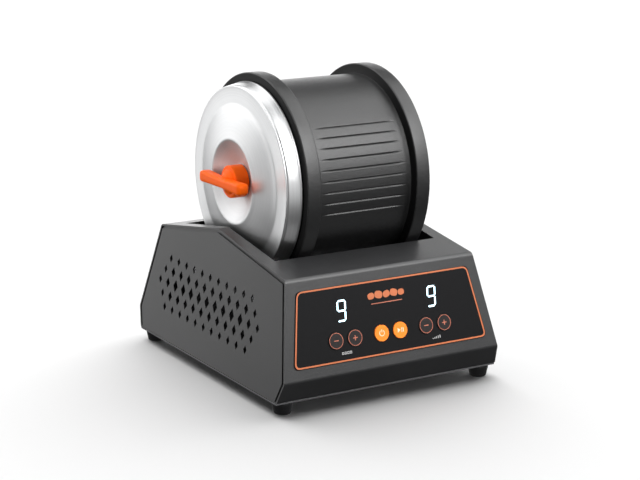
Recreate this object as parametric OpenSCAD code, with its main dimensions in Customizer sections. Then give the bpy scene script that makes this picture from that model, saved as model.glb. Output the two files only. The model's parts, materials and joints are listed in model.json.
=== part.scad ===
// Rotary rock tumbler: a tapered sheet-metal base with a geared roller drive,
// and a barrel with a clamped lid that lies on the two rollers.
// The origin is the centre of the footprint on the floor.
// +X is to the right, +Y to the back, +Z up. The control panel faces -Y.

/* [Base housing] */
// Width across the side panels at the front fold
base_w = 168; // [164:1:176]
// Depth from the front fold to the back fold
base_d = 212.6; // [208:0.2:220]
// Height of the folds above the floor
fold_z = 23.4; // [21:0.2:26]
// Height of the front and back top edges
top_z = 87.2; // [85:0.2:90]
// Height of the ridge of the side panels
peak_z = 101.4; // [100:0.2:102]
// Distance from the front fold back to the front top edge
front_lean = 17.8; // [16:0.2:20]
// Distance from the back fold forward to the back top edge
back_lean = 16.2; // [14:0.2:18]
// Distance that the chin folds inward at the floor plate
chin_in = 6.4; // [5:0.2:8]
// Inward slope of the side panels, in mm for each mm of height
side_taper = 0.17; // [0.15:0.01:0.18]
// Thickness of the bent wrapper and of the floor plate
sheet_t = 1.2; // [1:0.1:1.4]
// Thickness of the side panels
side_t = 1; // [0.8:0.1:1.5]
// Height of the rubber feet
foot_h = 8; // [7:0.5:9]

/* [Barrel] */
// Distance of the barrel axis behind the centre of the base
barrel_y = 7.2; // [6:0.2:9]
// Height of the barrel axis
barrel_z = 132; // [131:0.2:134]
// Radius of the two flanges that run on the rollers
flange_r = 72.8; // [72:0.1:73]
// Width of each flange
flange_w = 10.8; // [10:0.1:11.5]
// Radius of the barrel between its flanges
body_r = 65.8; // [64:0.1:67]
// Length of the barrel between its flanges
body_len = 74.6; // [72:0.1:75]
// Radius of the barrel's inside
bore_r = 56; // [54:0.5:57]
// Number of grooves in each grip
groove_count = 9; // [5:1:9]

/* [Lid and knob] */
// Outer radius of the lid's skirt
lid_r = 66; // [65:0.1:67]
// Radius of the dish in the middle of the lid
dish_r = 28; // [26:0.5:30]
// Tip to tip length of the wing knob
knob_len = 57; // [50:1:57]
// Pitch of the stud's thread
thread_pitch = 1.25; // [1:0.25:1.5]

/* [Drive] */
// Radius of the rubber roller sleeves
roller_r = 9; // [8:0.1:9.5]
// Half the distance between the roller shafts
roller_half_gap = 42; // [40:0.5:44]
// Radius of the roller shafts
shaft_r = 4; // [3.5:0.1:4.5]
// Teeth on the drive gear
gear_teeth = 44; // [44:1:44]
// Teeth on the motor pinion
pinion_teeth = 16; // [16:1:16]

/* [Controls] */
// Radius of a push button
button_r = 5.4; // [5:0.1:5.5]
// Distance that a button travels
button_travel = 0.6; // [0.3:0.1:0.6]

/* [Hidden] */
$fn = 64;
eps = 0.01;

// Gap between pieces that move past each other
gap = 0.3;

// Base outline
front_y = -base_d / 2;
back_y = base_d / 2;
corner_r = 4;
skin_in = 0.7;
panel_foot = 0.4;
seam_gap = 1.8;
panel_inset = skin_in + sheet_t + seam_gap;
panel_corner_r = 1.5;
lip_depth = 7;
taper_angle = atan(side_taper);
plate_top = foot_h + sheet_t;
plate_half_x = half_w(plate_top);
plate_half_y = base_d / 2 - chin_in - skin_in - 0.3;
flange_depth = 18;
flange_half_w = 66;
tab_y = 50;
tab_w = 16;
tab_in = 14;
tab_start = half_w(plate_top) - side_t / 2;

// Well that the barrel lies in
well_half_x = 63;
well_half_y = 64.1;

// Vent field in each side panel
vent_y = 8.3;
vent_z = 49.1;
vent_pitch = 11.86;
vent_row = 8.72;

// Feet and screws
foot_x = 77.6;
foot_y = 92.2;
foot_top_r = 7;
foot_low_r = 5.8;
screw_r = 1.5;
screw_hole_r = 1.6;
head_r = 2.9;
head_h = 1.8;
nut_r = 3.1;

// Barrel, as stations along its axis
drum_mid = 5;
rear_end = drum_mid + body_len / 2 + flange_w;
mouth = drum_mid - body_len / 2 - flange_w;
rear_wall = 10;
groove_pitch = 6.45;
groove_first = -12.6;
groove_inset = 5;
groove_depth = 0.9;
groove_w = 1.8;
grip_count = 3;

// Lid, as stations along the barrel axis
lid_back = mouth - 0.4;
lid_front = mouth - 11;
crown_x = lid_front - 6.3;
crown_r = 51.5;
dish_x = lid_front + 2;
lid_t = 1;
stud_r = 4;
stud_end = lid_front - 12;
seal_back = mouth + 10;
plate_t = 1.6;
washer_x = dish_x - gap;
washer_t = 1.1;
hub_x = washer_x - washer_t - gap;
hub_r = 11.2;
hub_len = 8.4;
bar_x = hub_x - hub_len;
bar_t = 8.6;
bar_r = 4.3;
insert_r = 6;
insert_len = 8;

// Roller drive
roller_gap = flange_r + roller_r + gap;
roller_z = barrel_z - sqrt(roller_gap * roller_gap - roller_half_gap * roller_half_gap);
drive_y = barrel_y + roller_half_gap;
idler_y = barrel_y - roller_half_gap;
sleeve_w = 14;
flange_mid = body_len / 2 + flange_w / 2;
bracket_x = 64;
bracket_t = 2;
bracket_z = 75;
bush_r = 6;
bush_flange_r = 8;
bush_flange_t = 1.5;
bush_out = 0.5;
shaft_over = 68.5;
clip_r = 6.2;
clip_t = 0.8;
running = 0.05;

// Gear train
gear_module = 1;
pressure_angle = 25;
gear_centre = (gear_teeth + pinion_teeth) * gear_module / 2 + 0.1;
mesh_angle = 21;
motor_y = drive_y - gear_centre * sin(mesh_angle);
motor_z = roller_z - gear_centre * cos(mesh_angle);
gear_x = 67.4;
gear_w = 4;
pinion_x = 67;
pinion_w = 4.8;
gearbox_r = 17.5;
gearbox_len = 22;
motor_r = 16.3;
motor_len = 44;
motor_screw_r = 13;
motor_shaft_r = 3;

// Control panel: local Y runs up the panel and local Z out of it
panel_angle = atan2(top_z - fold_z, front_lean);
rear_angle = atan2(top_z - fold_z, back_lean);
skin = -skin_in;
overlay_t = 0.6;
overlay_low = 7.9;
overlay_high = 57.7;
overlay_low_half = 75.7;
overlay_high_half = 66.9;
overlay_corner = 3.3;
button_row = 22.5;
button_xs = [-42.4, -27.9, -7.25, 7.25, 27.9, 42.4];
button_proud = 0.6;
button_back = -3.4;
display_x = 35.2;
display_row = 41.2;
display_w = 12.6;
display_h = 19;
display_face = -1;
board_z = -10.4;
board_t = 1.6;
board_low = 9;
board_high = 59;
board_half = 60;
standoff_r = 3;
standoff_xs = [-54, 54];
standoff_rows = [14, 54];

// Power inlet on the back wall: local Y runs up the wall and local Z out of it
jack_x = 45;
jack_row = 22;
jack_r = 5.4;
jack_bore = 2.75;

// Leads inside the base, as points on their routes
lead_r = 1.4;
motor_lead_route = [[-12, 38, 33], [-22, 36, 20], [-24, -40, 16], [-24, -70, 22], [-24, -86, 40]];
power_lead_route = [[-45, 84.7, 45.6], [-45, 76, 26], [-46, -40, 16], [-40, -72, 22], [-36, -86, 40]];

// Half the base's width, across the outer faces, at height z
function half_w(z) = base_w / 2 - side_taper * (z - fold_z);

// Inward step of the chin for each mm below the folds
function chin_slope(stretch) = chin_in / ((fold_z - foot_h) * stretch);

// Side outline of the base as (y, z) points. stretch follows the slope of the side panels, and drop lowers
// the outline's foot.
function side_outline(stretch, drop = 0) = [
  [front_y + chin_in + drop * chin_slope(stretch), foot_h * stretch - drop],
  [front_y, fold_z * stretch],
  [front_y + front_lean, top_z * stretch],
  [barrel_y, peak_z * stretch],
  [back_y - back_lean, top_z * stretch],
  [back_y, fold_z * stretch],
  [back_y - chin_in - drop * chin_slope(stretch), foot_h * stretch - drop]
];

// Width and height of one vent; they grow from the rim of the field to its middle
function vent_size(row, i, n) =
  let (ring = min(2 - abs(row), i, n - 1 - i))
  [4.5 + 1.1 * ring, 6.1 + 1.6 * ring];

// Involute of a circle of radius base at radius r, as an angle in degrees
function involute(base, r) =
  let (a = acos(base / r))
  tan(a) * 180 / PI - a;

// One side of a tooth as [radius, angle from the tooth's centre line]
function tooth_flank(teeth, slack) =
  let (
    pitch_r = teeth * gear_module / 2,
    base = pitch_r * cos(pressure_angle),
    low = max(base, pitch_r - 1.2 * gear_module),
    high = pitch_r + gear_module,
    half = 90 / teeth - slack / pitch_r * 90 / PI + involute(base, pitch_r)
  )
  concat(
    [[pitch_r - 1.25 * gear_module, half - involute(base, low) + 0.6]],
    [for (i = [0:4]) let (r = low + (high - low) * i / 4) [r, half - involute(base, r)]]
  );

// Outline of a spur gear as points
function gear_points(teeth, slack) =
  let (flank = tooth_flank(teeth, slack), last = len(flank) - 1)
  [for (t = [0:teeth - 1]) each concat(
    [for (i = [0:last]) flank[i][0] * unit(360 * t / teeth - flank[i][1])],
    [for (i = [last:-1:0]) flank[i][0] * unit(360 * t / teeth + flank[i][1])]
  )];

function unit(angle) = [cos(angle), sin(angle)];

// Turns a sketch so that its X runs along Y and its Y runs up, and extrudes it along +X
module along_x(from, length) {
  translate([from, 0, 0]) rotate([90, 0, 90]) linear_extrude(length) children();
}

// A cylinder along +X
module rod(x, y, z, r, length) {
  translate([x, y, z]) rotate([0, 90, 0]) cylinder(r = r, h = length);
}

// Puts children on the barrel axis; a revolved sketch's Y becomes the station along X
module on_axis() {
  translate([0, barrel_y, barrel_z]) rotate([0, 90, 0]) children();
}

module on_panel(x, row, out) {
  translate([0, front_y, fold_z]) rotate([panel_angle, 0, 0]) translate([x, row, out]) children();
}

module on_rear(x, row, out) {
  mirror([0, 1, 0]) translate([0, -back_y, fold_z]) rotate([rear_angle, 0, 0])
    translate([x, row, out]) children();
}

module rounded(r) {
  offset(r = r) offset(delta = -r) children();
}

// Cross-section of the wrapper's outer skin, above the floor plate
module wrapper_section() {
  intersection() {
    offset(delta = -skin_in) rounded(corner_r) polygon(side_outline(1));
    translate([front_y, plate_top]) square([base_d, peak_z]);
  }
}

// The space between the base's two leaning sides
module between_sides() {
  top = peak_z + corner_r;
  rotate([90, 0, 0]) linear_extrude(base_d + 2, center = true) polygon([
    [-half_w(0), 0], [half_w(0), 0], [half_w(top), top], [-half_w(top), top]
  ]);
}

module well(grow) {
  translate([-well_half_x - grow, barrel_y - well_half_y - grow, roller_z])
    cube([2 * (well_half_x + grow), 2 * (well_half_y + grow), peak_z]);
}

module wrapper_shell() {
  intersection() {
    along_x(-half_w(0), 2 * half_w(0)) difference() {
      wrapper_section();
      offset(delta = -sheet_t) wrapper_section();
      translate([-plate_half_y + flange_depth, plate_top - 1])
        square([2 * (plate_half_y - flange_depth), 1 + 2 * sheet_t]);
    }
    between_sides();
  }
}

// Lips folded down around the well
module well_lips() {
  intersection() {
    along_x(-well_half_x - sheet_t, 2 * (well_half_x + sheet_t)) difference() {
      wrapper_section();
      offset(delta = -lip_depth) wrapper_section();
    }
    well(sheet_t);
  }
}

module floor_screw_places() {
  for (x = [-56, 0, 56], side = [-1, 1])
    translate([x, side * (plate_half_y - flange_depth / 2), 0]) children();
  for (x = [-1, 1], side = [-1, 1])
    translate([x * (plate_half_x - tab_in / 2), side * tab_y, 0]) children();
}

module foot_places() {
  for (x = [-1, 1], y = [-1, 1]) translate([x * foot_x, y * foot_y, 0]) children();
}

module wrapper() {
  color("dimgray") difference() {
    union() {
      wrapper_shell();
      well_lips();
    }
    well(0);
    // The floor flanges stop short of the feet
    for (x = [-1, 1], y = [-1, 1])
      translate([x * (flange_half_w + 15), y * (plate_half_y - flange_depth), plate_top + 0.5])
        cube([30, 2 * flange_depth - 5, 3], center = true);
    for (x = button_xs) on_panel(x, button_row, -5) cylinder(r = button_r + gap, h = 8);
    for (x = [-display_x, display_x])
      on_panel(x - display_w / 2 - gap, display_row - display_h / 2 - gap, -5)
        cube([display_w + 2 * gap, display_h + 2 * gap, 8]);
    on_rear(-jack_x, jack_row, -5) cylinder(r = jack_r + 0.1, h = 8);
    floor_screw_places() translate([0, 0, foot_h]) cylinder(r = screw_hole_r, h = 4);
  }
}

module vent(row, i) {
  n = 13 - abs(row);
  size = vent_size(row, i, n);
  y = vent_y + (i - (n - 1) / 2) * vent_pitch;
  z = vent_z / cos(taper_angle) + row * vent_row;
  translate([y, z]) polygon([[-size[0] / 2, 0], [0, -size[1] / 2], [size[0] / 2, 0], [0, size[1] / 2]]);
}

// The left side panel, leaning inward inside the wrapper's edge, with two tabs that sit on the floor plate
module side_panel() {
  stretch = 1 / cos(taper_angle);
  difference() {
    union() {
      translate([-half_w(0), 0, 0]) rotate([0, taper_angle, 0]) along_x(0, side_t) difference() {
        intersection() {
          rounded(panel_corner_r) offset(delta = -panel_inset) polygon(side_outline(stretch, 2 * panel_inset));
          translate([front_y, (plate_top + panel_foot) * stretch]) square([base_d, peak_z]);
        }
        for (row = [-2:2], i = [0:12 - abs(row)]) vent(row, i);
      }
      for (y = [-1, 1])
        translate([-tab_start, y * tab_y - tab_w / 2, plate_top])
          cube([tab_start - plate_half_x + tab_in, tab_w, side_t]);
    }
    floor_screw_places() translate([0, 0, foot_h]) cylinder(r = screw_hole_r, h = 5);
  }
}

module left_side_panel() {
  color("#565759") side_panel();
}

module right_side_panel() {
  color("#565759") mirror([1, 0, 0]) side_panel();
}

module floor_plate() {
  color("gray") difference() {
    translate([-plate_half_x, -plate_half_y, foot_h])
      cube([2 * plate_half_x, 2 * plate_half_y, sheet_t]);
    floor_screw_places() translate([0, 0, foot_h - 1]) cylinder(r = screw_hole_r, h = 4);
    foot_places() translate([0, 0, foot_h - 1]) cylinder(r = screw_hole_r, h = 4);
    bracket_screw_places() translate([0, 0, foot_h - 1]) cylinder(r = screw_hole_r, h = 4);
  }
}

module foot(x, y) {
  color("#1c1c1d") translate([x * foot_x, y * foot_y, 0]) rotate_extrude() polygon([
    [screw_hole_r, foot_h], [foot_top_r, foot_h], [foot_top_r, foot_h - 1.5],
    [foot_low_r, 0.6], [foot_low_r - 0.6, 0], [3.6, 0], [3.4, 0.2],
    [3.4, foot_h / 2], [screw_hole_r, foot_h / 2]
  ]);
}

module foot_screws() {
  color("silver") foot_places() {
    translate([0, 0, foot_h / 2 - head_h]) cylinder(r = head_r, h = head_h);
    translate([0, 0, foot_h / 2 - eps]) cylinder(r = screw_r, h = foot_h);
  }
}

module foot_nuts() {
  color("silver") foot_places() translate([0, 0, plate_top]) difference() {
    cylinder(r = nut_r, h = 2.4, $fn = 6);
    translate([0, 0, -1]) cylinder(r = screw_r + 0.02, h = 5);
  }
}

module floor_screws() {
  color("silver") floor_screw_places() {
    translate([0, 0, foot_h - head_h]) cylinder(r = head_r, h = head_h);
    translate([0, 0, foot_h - eps]) cylinder(r = screw_r, h = 5);
  }
}

module bracket_screw_places() {
  for (x = [-1, 1], y = [-38, 62]) translate([x * (bracket_x - 6), y, 0]) children();
}

// A bearing plate for both shafts, with a foot that points inward; side is -1 or 1
module bracket(side) {
  mirror([side < 0 ? 1 : 0, 0, 0]) difference() {
    union() {
      along_x(bracket_x, bracket_t) polygon([
        [idler_y - 16, plate_top], [drive_y + 26, plate_top],
        [drive_y + 12, bracket_z], [idler_y - 12, bracket_z]
      ]);
      translate([bracket_x - 12, idler_y - 10, plate_top])
        cube([12 + bracket_t, drive_y - idler_y + 30, bracket_t]);
    }
    for (y = [idler_y, drive_y]) rod(bracket_x - 1, y, roller_z, bush_r, 5);
  }
}

module left_bracket() {
  color("lightsteelblue") difference() {
    bracket(-1);
    bracket_screw_places() translate([0, 0, plate_top - 1]) cylinder(r = screw_hole_r, h = 5);
  }
}

module motor_screw_places() {
  for (side = [-1, 1]) {
    y = motor_y + side * motor_screw_r * cos(mesh_angle);
    z = motor_z - side * motor_screw_r * sin(mesh_angle);
    translate([bracket_x + bracket_t, y, z]) rotate([0, 90, 0]) children();
  }
}

module right_bracket() {
  color("lightsteelblue") difference() {
    bracket(1);
    bracket_screw_places() translate([0, 0, plate_top - 1]) cylinder(r = screw_hole_r, h = 5);
    rod(bracket_x - 1, motor_y, motor_z, motor_shaft_r + 1, 5);
    motor_screw_places() translate([0, 0, -4]) cylinder(r = screw_hole_r, h = 6);
  }
}

module bracket_screws() {
  color("silver") bracket_screw_places() {
    translate([0, 0, plate_top + bracket_t]) cylinder(r = head_r, h = head_h);
    translate([0, 0, foot_h]) cylinder(r = screw_r, h = sheet_t + bracket_t + eps);
  }
}

// A flanged bush in the right bracket, with its flange inside
module bush(y) {
  translate([bracket_x, y, roller_z]) rotate([0, 90, 0]) difference() {
    union() {
      translate([0, 0, -bush_flange_t]) cylinder(r = bush_flange_r, h = bush_flange_t);
      translate([0, 0, -eps]) cylinder(r = bush_r, h = bracket_t + bush_out);
    }
    translate([0, 0, -5]) cylinder(r = shaft_r + running, h = 10);
  }
}

module roller_bushes() {
  color("#b08d57") for (y = [idler_y, drive_y]) {
    bush(y);
    mirror([1, 0, 0]) bush(y);
  }
}

module gearbox() {
  color("silver") difference() {
    rod(bracket_x - gearbox_len, motor_y, motor_z, gearbox_r, gearbox_len);
    rod(bracket_x - 10, motor_y, motor_z, motor_shaft_r + running, 12);
    motor_screw_places() translate([0, 0, -8]) cylinder(r = screw_hole_r, h = 10);
  }
}

module motor_can() {
  back = bracket_x - gearbox_len - motor_len;
  color("#3b3d40") {
    rod(back, motor_y, motor_z, motor_r, motor_len);
    rod(back - 4, motor_y, motor_z, 6, 4 + eps);
    for (side = [-1, 1])
      translate([back - 5, motor_y + side * 10 - 1.5, motor_z - 0.4]) cube([5 + eps, 3, 0.8]);
  }
}

module motor_screws() {
  color("silver") motor_screw_places() {
    cylinder(r = head_r, h = 1);
    translate([0, 0, -7]) cylinder(r = screw_r, h = 7 + eps);
  }
}

module control_overlay() {
  color("#2a2a2c") difference() {
    on_panel(0, 0, skin) linear_extrude(overlay_t) rounded(overlay_corner) polygon([
      [-overlay_low_half, overlay_low], [overlay_low_half, overlay_low],
      [overlay_high_half, overlay_high], [-overlay_high_half, overlay_high]
    ]);
    for (x = button_xs) on_panel(x, button_row, -5) cylinder(r = button_r + gap, h = 8);
  }
}

module standoff_places(out) {
  for (x = standoff_xs, row = standoff_rows) on_panel(x, row, out) children();
}

module control_board() {
  color("darkgreen") difference() {
    on_panel(-board_half, board_low, board_z - board_t)
      cube([2 * board_half, board_high - board_low, board_t]);
    standoff_places(board_z - 3) cylinder(r = screw_hole_r, h = 5);
  }
}

module board_standoffs() {
  length = skin - sheet_t - board_z;
  color("silver") standoff_places(board_z) difference() {
    cylinder(r = standoff_r, h = length);
    translate([0, 0, -1]) cylinder(r = screw_hole_r, h = length - 1);
  }
}

module board_screws() {
  color("silver") standoff_places(board_z - board_t) {
    translate([0, 0, -head_h]) cylinder(r = head_r, h = head_h);
    translate([0, 0, -eps]) cylinder(r = screw_r, h = 6);
  }
}

module display(x) {
  on_panel(x - display_w / 2, display_row - display_h / 2, board_z)
    cube([display_w, display_h, display_face - board_z]);
}

module days_display() {
  color("#15181b") display(-display_x);
}

module speed_display() {
  color("#15181b") display(display_x);
}

module button_switches() {
  color("black") for (x = button_xs) {
    on_panel(x - 3, button_row - 3, board_z) cube([6, 6, 3.5]);
    on_panel(x, button_row, board_z + 3.5 - eps) cylinder(r = 1.75, h = 0.7);
  }
}

// A push button with a flange behind the wrapper and a stem to its switch
module push_button(x) {
  on_panel(x, button_row, 0) union() {
    translate([0, 0, button_back]) cylinder(r = button_r, h = button_proud - button_back);
    translate([0, 0, button_back]) cylinder(r = button_r + 0.8, h = 1);
    translate([0, 0, button_back - 1.6]) cylinder(r = 1.5, h = 1.6 + eps);
  }
}

module power_jack() {
  color("#18181a") on_rear(-jack_x, jack_row, 0) {
    difference() {
      union() {
        translate([0, 0, skin]) cylinder(r = jack_r + 1.8, h = 1.6);
        translate([0, 0, -14]) cylinder(r = jack_r, h = 14 + skin + eps);
      }
      translate([0, 0, -10]) cylinder(r = jack_bore, h = 12);
    }
    translate([0, 0, -10 - eps]) cylinder(r = 1, h = 9);
  }
}

module jack_nut() {
  color("silver") on_rear(-jack_x, jack_row, skin - sheet_t - 2.6) difference() {
    cylinder(r = 8, h = 2.6, $fn = 6);
    translate([0, 0, -1]) cylinder(r = jack_r + 0.02, h = 5);
  }
}

module lead(route) {
  for (i = [0:len(route) - 2]) hull() {
    translate(route[i]) sphere(r = lead_r, $fn = 10);
    translate(route[i + 1]) sphere(r = lead_r, $fn = 10);
  }
}

module motor_leads() {
  color("firebrick") lead(motor_lead_route);
}

module power_leads() {
  color("#202020") lead(power_lead_route);
}

// Retaining clip on a shaft, at the outer side of the right bracket's bush
module shaft_clip(y) {
  rod(bracket_x + bracket_t + bush_out + gap, y, roller_z, clip_r, clip_t);
}

module roller_sleeves(y) {
  for (side = [-1, 1]) difference() {
    rod(drum_mid + side * flange_mid - sleeve_w / 2, y, roller_z, roller_r, sleeve_w);
    rod(drum_mid + side * flange_mid - sleeve_w, y, roller_z, shaft_r, 2 * sleeve_w);
  }
}

module drive_shaft() {
  color("lightgray") rod(-shaft_over, drive_y, roller_z, shaft_r, shaft_over + gear_x + gear_w + 0.4);
}

module drive_sleeves() {
  color("#232324") roller_sleeves(drive_y);
}

module drive_clip() {
  color("gray") difference() {
    mirror([1, 0, 0]) shaft_clip(drive_y);
    rod(-shaft_over - 1, drive_y, roller_z, shaft_r, 5);
  }
}

// Gears turn about the shaft axes; the turn puts a tooth of the gear between two of the pinion
module drive_gear() {
  color("ivory") translate([gear_x, drive_y, roller_z]) rotate([90, 0, 90]) difference() {
    rotate(-90 - mesh_angle) linear_extrude(gear_w) polygon(gear_points(gear_teeth, 0.2));
    translate([0, 0, -1]) cylinder(r = shaft_r, h = gear_w + 2);
  }
}

module motor_pinion() {
  color("#c9a227") translate([pinion_x, motor_y, motor_z]) rotate([90, 0, 90]) difference() {
    rotate(90 - mesh_angle + 180 / pinion_teeth) linear_extrude(pinion_w)
      polygon(gear_points(pinion_teeth, 0.2));
    translate([0, 0, -1]) cylinder(r = motor_shaft_r, h = pinion_w + 2);
  }
}

module motor_shaft() {
  color("lightgray") rod(bracket_x - 9, motor_y, motor_z, motor_shaft_r, pinion_x + pinion_w + 9.4 - bracket_x);
}

module idler_shaft() {
  color("lightgray") rod(-shaft_over, idler_y, roller_z, shaft_r, 2 * shaft_over);
}

module idler_sleeves() {
  color("#232324") roller_sleeves(idler_y);
}

module idler_clips() {
  color("gray") difference() {
    union() {
      shaft_clip(idler_y);
      mirror([1, 0, 0]) shaft_clip(idler_y);
    }
    rod(-shaft_over - 1, idler_y, roller_z, shaft_r, 2 * shaft_over + 2);
  }
}

module barrel_drum() {
  front_step = mouth + flange_w;
  rear_step = rear_end - flange_w;
  floor_x = rear_end - rear_wall;
  color("#3c3d3f") difference() {
    on_axis() rotate_extrude($fn = 128) polygon([
      [bore_r, mouth], [flange_r - 1, mouth], [flange_r, mouth + 1],
      [flange_r, front_step - 1], [flange_r - 1, front_step], [body_r, front_step],
      [body_r, rear_step], [flange_r - 1, rear_step], [flange_r, rear_step + 1],
      [flange_r, rear_end - 1], [flange_r - 1, rear_end], [60, rear_end],
      [58, rear_end - 3], [0, rear_end - 3], [0, floor_x], [bore_r - 3, floor_x],
      [bore_r, floor_x - 3]
    ]);
    for (grip = [0:grip_count - 1], i = [0:groove_count - 1])
      translate([0, barrel_y, barrel_z])
        rotate([-(groove_first + i * groove_pitch + grip * 360 / grip_count), 0, 0])
          translate([front_step + groove_inset, -body_r - 2, -groove_w / 2])
            cube([body_len - 2 * groove_inset, 2 + groove_depth, groove_w]);
  }
}

// Pressed steel cover: a skirt with a step, a flat rim, a crown and a dish in the middle
module outer_lid() {
  color("gainsboro") on_axis() rotate_extrude($fn = 128) polygon([
    [lid_r, lid_back], [lid_r, lid_back - 2], [lid_r - 0.8, lid_back - 3],
    [lid_r - 0.8, lid_front + 1.2], [lid_r - 2, lid_front], [crown_r, lid_front - 0.6],
    [crown_r - 3, lid_front - 1.4], [dish_r + 1, crown_x], [dish_r - 1, crown_x + 0.3],
    [18, dish_x + 0.3], [14, dish_x], [stud_r + 0.15, dish_x],
    [stud_r + 0.15, dish_x + lid_t], [13.6, dish_x + lid_t], [17.6, dish_x + lid_t + 0.3],
    [dish_r - 0.7, crown_x + 1.4], [dish_r + 0.8, crown_x + 1.1], [crown_r - 3.2, lid_front - 0.4],
    [crown_r - 0.2, lid_front + 0.4], [lid_r - 2.6, lid_front + lid_t],
    [lid_r - 1.8, lid_front + lid_t + 0.8],
    [lid_r - 1.8, lid_back - 2.6], [lid_r - 1, lid_back - 1.6], [lid_r - 1, lid_back]
  ]);
}

// Rubber plug that the clamp swells against the mouth of the barrel
module lid_seal() {
  color("#1e1e1f") on_axis() rotate_extrude($fn = 128) polygon([
    [stud_r + 0.15, dish_x + lid_t + 0.05], [14, dish_x + lid_t + 0.05], [16, mouth - 2],
    [61, mouth - 2], [61, mouth - gap], [bore_r - gap, mouth - gap],
    [bore_r - gap, seal_back - 2], [bore_r - 2, seal_back], [stud_r + 0.15, seal_back]
  ]);
}

module inner_plate() {
  color("silver") on_axis() translate([0, 0, seal_back + 0.02]) difference() {
    cylinder(r = 48, h = plate_t);
    translate([0, 0, -1]) cylinder(r = stud_r + 0.15, h = plate_t + 2);
  }
}

// Carriage bolt: a domed head inside the barrel and a threaded stem out through the lid
module lid_stud() {
  head = seal_back + plate_t + 0.04;
  color("lightgray") on_axis() rotate_extrude() polygon([
    [0, stud_end], [stud_r - 0.6, stud_end], [stud_r, stud_end + 0.6],
    [stud_r, head], [9, head], [8.4, head + 1.6], [5, head + 2.8], [0, head + 3.2]
  ]);
}

module knob_washer() {
  color("silver") on_axis() translate([0, 0, washer_x - washer_t]) difference() {
    cylinder(r = 9.5, h = washer_t);
    translate([0, 0, -1]) cylinder(r = stud_r + 0.3, h = washer_t + 2);
  }
}

// Wing knob: a round hub against the lid and a bar across it, level at rest
module wing_knob() {
  tip = knob_len / 2 - bar_r;
  color("darkorange") difference() {
    union() {
      on_axis() rotate_extrude() polygon([
        [0, hub_x], [hub_r, hub_x], [hub_r, bar_x + 1], [hub_r - 1, bar_x],
        [hub_r - 3, bar_x - 1.6], [0, bar_x - 1.6]
      ]);
      translate([bar_x - bar_t, barrel_y - tip, barrel_z - bar_r]) cube([bar_t, 2 * tip, 2 * bar_r]);
      for (side = [-1, 1]) rod(bar_x - bar_t, barrel_y + side * tip, barrel_z, bar_r, bar_t);
    }
    rod(hub_x - insert_len, barrel_y, barrel_z, insert_r, insert_len + 1);
    rod(stud_end - 0.6, barrel_y, barrel_z, stud_r + 0.3, hub_x - stud_end);
  }
}

module knob_insert() {
  color("goldenrod") difference() {
    rod(hub_x - insert_len, barrel_y, barrel_z, insert_r, insert_len);
    rod(hub_x - insert_len - 1, barrel_y, barrel_z, stud_r + running, insert_len + 2);
  }
}

wrapper();
left_side_panel();
right_side_panel();
floor_plate();
foot(-1, -1);  // front_left_foot
foot(1, -1);  // front_right_foot
foot(-1, 1);  // rear_left_foot
foot(1, 1);  // rear_right_foot
foot_screws();
foot_nuts();
floor_screws();
left_bracket();
right_bracket();
bracket_screws();
roller_bushes();
gearbox();
motor_can();
motor_screws();
control_overlay();
control_board();
board_standoffs();
board_screws();
days_display();
speed_display();
button_switches();
power_jack();
jack_nut();
motor_leads();
power_leads();
drive_shaft();
drive_sleeves();
drive_clip();
drive_gear();
idler_shaft();
idler_sleeves();
idler_clips();
motor_shaft();
motor_pinion();
barrel_drum();
outer_lid();
lid_seal();
inner_plate();
lid_stud();
knob_washer();
wing_knob();
knob_insert();
color("#26262a") push_button(button_xs[0]);  // days_minus_button
color("#26262a") push_button(button_xs[1]);  // days_plus_button
color("darkorange") push_button(button_xs[2]);  // power_button
color("darkorange") push_button(button_xs[3]);  // play_pause_button
color("#26262a") push_button(button_xs[4]);  // speed_minus_button
color("#26262a") push_button(button_xs[5]);  // speed_plus_button
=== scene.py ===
import json
import math

import bmesh
import bpy
from mathutils import Matrix, Vector


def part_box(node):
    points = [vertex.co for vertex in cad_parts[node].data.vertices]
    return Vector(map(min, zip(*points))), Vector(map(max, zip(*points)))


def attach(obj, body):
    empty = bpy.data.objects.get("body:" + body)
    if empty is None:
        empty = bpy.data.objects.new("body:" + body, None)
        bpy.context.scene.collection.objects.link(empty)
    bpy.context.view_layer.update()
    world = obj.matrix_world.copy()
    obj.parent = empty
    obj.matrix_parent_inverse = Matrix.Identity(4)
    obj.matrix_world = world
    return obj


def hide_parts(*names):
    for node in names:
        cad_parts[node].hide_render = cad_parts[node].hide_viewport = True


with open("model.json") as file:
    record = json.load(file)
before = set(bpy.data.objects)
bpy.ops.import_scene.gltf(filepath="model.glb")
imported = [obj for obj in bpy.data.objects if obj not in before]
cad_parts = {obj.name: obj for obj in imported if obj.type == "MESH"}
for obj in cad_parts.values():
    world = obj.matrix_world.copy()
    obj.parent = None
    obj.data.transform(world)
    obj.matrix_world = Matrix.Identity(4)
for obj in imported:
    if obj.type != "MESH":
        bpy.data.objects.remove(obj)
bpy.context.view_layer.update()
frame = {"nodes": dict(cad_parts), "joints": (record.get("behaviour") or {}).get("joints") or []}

MM = 0.001
JOINTS = {j["name"]: j for j in frame["joints"]}
NODES = frame["nodes"]


# ---------------------------------------------------------------- places taken from the frame

AXIS = Vector(JOINTS["barrel_spin"]["pos_m"])
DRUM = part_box("barrel_drum")
FLANGE_R = (DRUM[1].z - DRUM[0].z) / 2
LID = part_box("outer_lid")
LID_R = (LID[1].z - LID[0].z) / 2
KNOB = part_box("wing_knob")
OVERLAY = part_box("control_overlay")
INWARD = Vector(JOINTS["power_press"]["axis"])
OVERLAY_T = 0.6 * MM

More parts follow.
